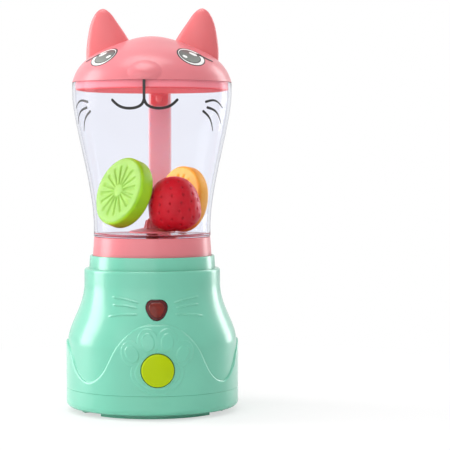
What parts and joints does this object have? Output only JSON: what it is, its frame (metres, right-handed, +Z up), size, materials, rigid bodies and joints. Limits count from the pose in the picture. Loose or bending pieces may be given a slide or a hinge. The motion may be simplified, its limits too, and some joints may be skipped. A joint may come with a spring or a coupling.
{
  "type": "toy blender",
  "caption": "Toy kitchen blender with a cat face: round mint base with a push button and nose light, clear jar on a pink collar, rear handle, domed lid with ears, loose play fruit.",
  "frame": {"origin": "on the floor, on the axis of the round base", "axes": "+Z up, -Y towards the front with the button, +X to the right of someone facing the front"},
  "size_m": [0.1202, 0.1283, 0.28],
  "materials": {
    "mint": "glossy",
    "pink": "glossy",
    "coral": "satin",
    "clear": "clear, glossy",
    "lens_red": "translucent",
    "lime_button": "glossy",
    "lime_fruit": "soft",
    "berry_red": "soft",
    "orange_fruit": "soft",
    "white_plastic": "as moulded",
    "black_plastic": "as moulded",
    "board_green": "lacquered",
    "steel": "bright",
    "bronze": "sintered",
    "cell_wrap": "glossy sleeve"
  },
  "bodies": {
    "base": {"housing": "mint", "bottom_cover": "mint", "jar_socket": "mint", "housing_screws": "steel", "socket_screws": "steel", "nose_lens": "lens_red", "led": "lens_red", "circuit_board": "board_green", "board_screws": "steel", "button_switch": "black_plastic", "speaker": "black_plastic", "battery_cells": "cell_wrap", "battery_contacts": "steel", "motor": "steel", "gear_plate": "white_plastic", "gear_plate_screws": "steel", "drive_bush_lower": "bronze", "drive_bush_upper": "bronze", "idler_pin": "steel", "button_spring": "steel"},
    "button": {"button_cap": "lime_button"},
    "drive": {"drive_gear": "white_plastic", "drive_shaft": "steel", "drive_dog": "white_plastic"},
    "idler": {"idler_gear": "white_plastic"},
    "pinion": {"motor_pinion": "bronze", "motor_shaft": "steel"},
    "battery_door": {"battery_door": "mint", "door_screws": "steel"},
    "jar": {"jar": "clear", "jar_base": "pink", "jar_base_screws": "steel", "jar_handle": "pink", "handle_screw": "steel", "agitator_bush": "bronze"},
    "agitator": {"agitator": "coral", "agitator_shaft": "steel", "driven_dog": "white_plastic"},
    "lid": {"lid_shell": "pink", "lid_liner": "coral", "ear_left": "coral", "ear_right": "coral"},
    "strawberry": {"strawberry": "berry_red"},
    "lime_slice": {"lime_slice": "lime_fruit"},
    "orange_slice": {"orange_slice": "orange_fruit"}
  },
  "joints": [
    {"name": "jar_lift", "type": "slide", "parent": "base", "child": "jar", "axis": [0, 0, 1], "range_m": [0, 0.04]},
    {"name": "lid_lift", "type": "slide", "parent": "jar", "child": "lid", "axis": [0, 0, 1], "range_m": [0, 0.06]},
    {"name": "drive_spin", "type": "hinge", "parent": "base", "child": "drive", "pos_m": [0, 0, 0.086], "axis": [0, 0, 1], "continuous": true},
    {"name": "idler_spin", "type": "hinge", "parent": "base", "child": "idler", "pos_m": [0, 0.0192, 0.08], "axis": [0, 0, 1], "continuous": true},
    {"name": "pinion_spin", "type": "hinge", "parent": "base", "child": "pinion", "pos_m": [0.01535, 0.02603, 0.079], "axis": [0, 0, 1], "continuous": true},
    {"name": "agitator_spin", "type": "hinge", "parent": "jar", "child": "agitator", "pos_m": [0, 0, 0.12], "axis": [0, 0, 1], "continuous": true},
    {"name": "button_press", "type": "slide", "parent": "base", "child": "button", "axis": [0, 1, 0], "range_m": [0, 0.003], "stiffness_N_per_m": 300, "springref_m": -0.002, "deforming": ["button_spring"]},
    {"name": "door_drop", "type": "slide", "parent": "base", "child": "battery_door", "axis": [0, 0, -1], "range_m": [0, 0.03]},
    {"name": "strawberry_lift", "type": "slide", "parent": "jar", "child": "strawberry", "axis": [0, 0, 1], "range_m": [0, 0.018]},
    {"name": "lime_lift", "type": "slide", "parent": "strawberry", "child": "lime_slice", "axis": [0, 0, 1], "range_m": [0, 0.022]},
    {"name": "orange_lift", "type": "slide", "parent": "jar", "child": "orange_slice", "axis": [0.105, 0.075, 0.9916], "range_m": [0, 0.025]}
  ],
  "couplings": [
    {"joint": "idler_spin", "follows": "drive_spin", "ratio": -3},
    {"joint": "pinion_spin", "follows": "drive_spin", "ratio": 7.5},
    {"joint": "agitator_spin", "follows": "drive_spin", "ratio": 1}
  ]
}
